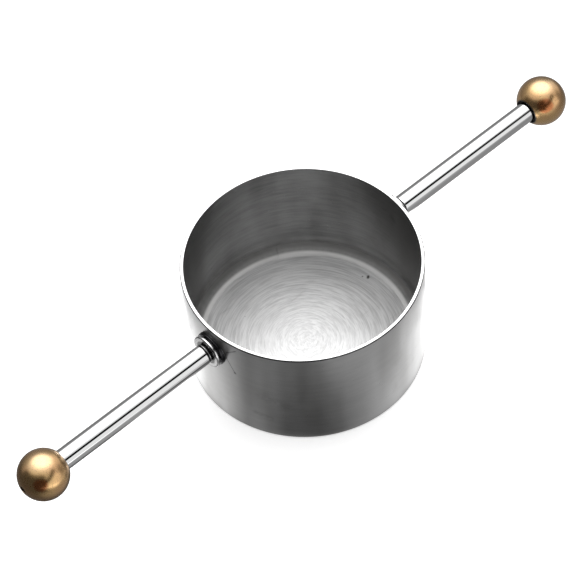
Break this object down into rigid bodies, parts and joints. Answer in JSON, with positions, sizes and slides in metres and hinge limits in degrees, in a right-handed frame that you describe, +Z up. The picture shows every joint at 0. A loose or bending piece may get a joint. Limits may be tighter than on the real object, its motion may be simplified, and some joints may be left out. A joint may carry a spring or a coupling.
{
  "type": "bar jigger",
  "caption": "Straight-sided spirit measuring cup hung between two ball-ended rod handles, to tip over a mixing glass.",
  "frame": {"origin": "centre of the cup's underside, on the surface it stands on", "axes": "+Z up along the cup's axis, +X along the handles, +Y across them"},
  "size_m": [0.1586, 0.0536, 0.0292],
  "materials": {
    "satin_steel": "satin stainless steel, brushed round the cup, with fine turned rings on the floor",
    "solder": "dressed silver solder, a little brighter than the wall",
    "polished_steel": "mirror-polished stainless steel",
    "heat_darkened_steel": "stainless steel darkened by the weld's heat, bare along its edge",
    "spring_steel": "blackened spring steel",
    "antique_bronze": "antiqued bronze plating, satin with fine specks, darker at its edges",
    "black_screw": "black oxide steel"
  },
  "bodies": {
    "root": {"cup_wall": "satin_steel", "cup_base": "satin_steel", "floor_seam": "solder", "left_wall_stud": "heat_darkened_steel", "right_wall_stud": "heat_darkened_steel", "left_lock_washer": "spring_steel", "right_lock_washer": "spring_steel", "left_collar": "polished_steel", "right_collar": "polished_steel", "left_handle_rod": "polished_steel", "right_handle_rod": "polished_steel", "left_ball_end": "antique_bronze", "right_ball_end": "antique_bronze", "left_ball_screw": "black_screw", "right_ball_screw": "black_screw"}
  },
  "joints": []
}
